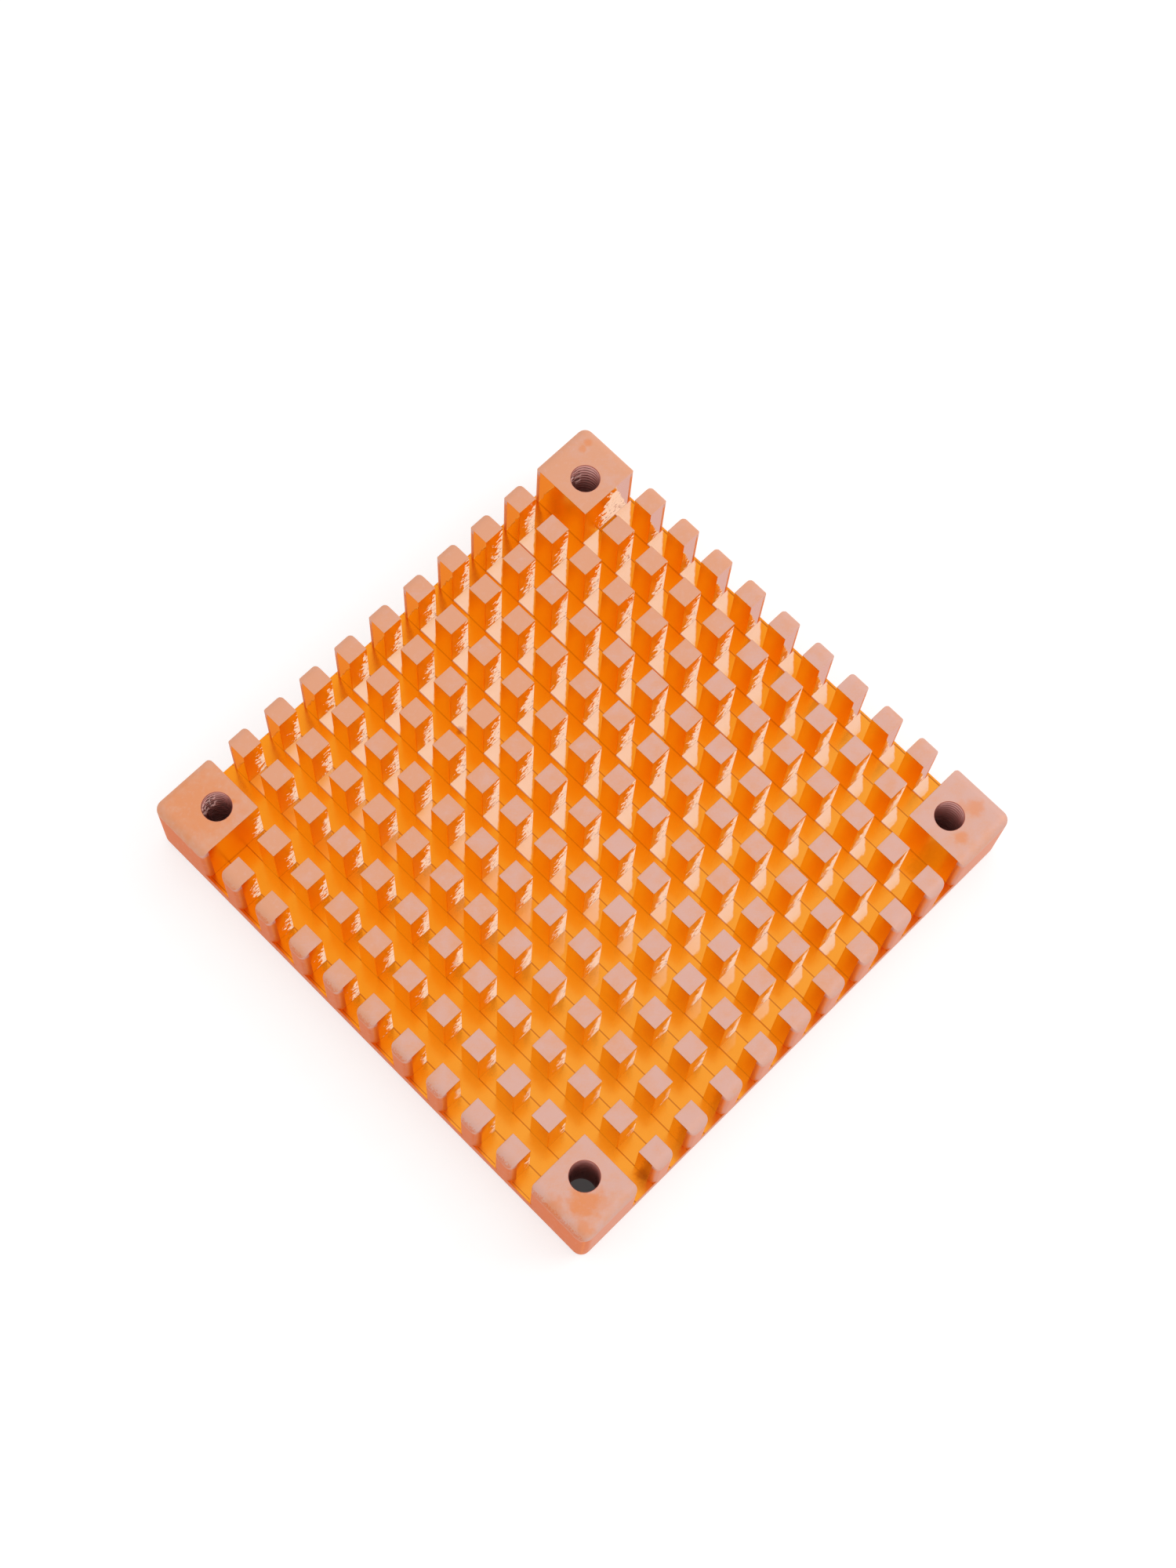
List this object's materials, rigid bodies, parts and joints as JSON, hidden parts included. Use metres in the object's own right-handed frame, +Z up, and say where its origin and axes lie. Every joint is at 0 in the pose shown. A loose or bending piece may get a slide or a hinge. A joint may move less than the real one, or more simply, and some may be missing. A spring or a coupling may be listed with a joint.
{
  "type": "pin-fin heat sink",
  "caption": "Square copper plate milled into a field of square pins between crossing channels, with a solid tapped post at each corner and a flat underside.",
  "frame": {"origin": "centre of the flat underside", "axes": "+Z up along the pins, away from the flat underside; X and Y along the two sets of channels"},
  "size_m": [0.0504, 0.0504, 0.008],
  "materials": {
    "copper": "satin"
  },
  "bodies": {
    "root": {"heat_sink": "copper"}
  },
  "joints": []
}
